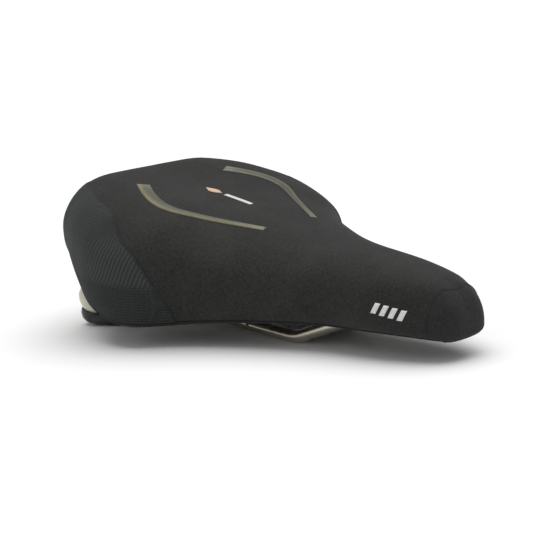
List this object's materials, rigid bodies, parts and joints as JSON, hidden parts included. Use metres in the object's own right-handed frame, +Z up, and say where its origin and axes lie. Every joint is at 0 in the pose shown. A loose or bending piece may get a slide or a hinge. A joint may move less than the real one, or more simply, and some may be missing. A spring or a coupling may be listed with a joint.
{
  "type": "bicycle saddle",
  "caption": "Sprung comfort bicycle saddle: padded gel seat hinged on a bent rail at the nose and carried by a rear yoke with elastomer springs.",
  "frame": {"origin": "midway between the two rails, on their centreline, at the middle of the straight zone that a seatpost clamp holds", "axes": "+X to the nose, +Y to the rider's left, +Z up"},
  "size_m": [0.2688, 0.1744, 0.0867],
  "materials": {
    "rail": "satin, warm grey",
    "yoke": "satin black",
    "elastomer": "satin, pale cream",
    "screws": "satin",
    "shell": "matte black",
    "hinge_plastic": "satin black",
    "foam": "open foam",
    "gel": "clear gel",
    "cover": "fine woven, charcoal",
    "staples": "bright",
    "panel": "embossed, bluish black",
    "nose_panel": "fine mesh",
    "window": "translucent, olive grey",
    "badge": "printed, pale",
    "side_badge": "printed, white"
  },
  "bodies": {
    "rail_frame": {"rail": "rail", "rear_yoke": "yoke", "left_elastomer": "elastomer", "right_elastomer": "elastomer", "elastomer_screws": "screws"},
    "seat": {"base_shell": "shell", "nose_cradle": "hinge_plastic", "nose_cap": "hinge_plastic", "nose_screws": "screws", "foam_pad": "foam", "left_gel_pad": "gel", "right_gel_pad": "gel", "cover": "cover", "staples": "staples", "left_rear_panel": "panel", "right_rear_panel": "panel", "nose_panel": "nose_panel", "left_gel_window": "window", "right_gel_window": "window", "top_badge": "badge", "left_side_badge": "side_badge", "right_side_badge": "side_badge", "accessory_clip": "hinge_plastic", "clip_screws": "screws"}
  },
  "joints": [
    {"name": "seat_flex", "type": "hinge", "parent": "rail_frame", "child": "seat", "pos_m": [0.098, 0, 0.0215], "axis": [0, -1, 0], "range_deg": [0, 1.6], "stiffness_Nm_per_rad": 2900, "springref_deg": -0.06, "deforming": ["left_elastomer", "right_elastomer"]}
  ]
}
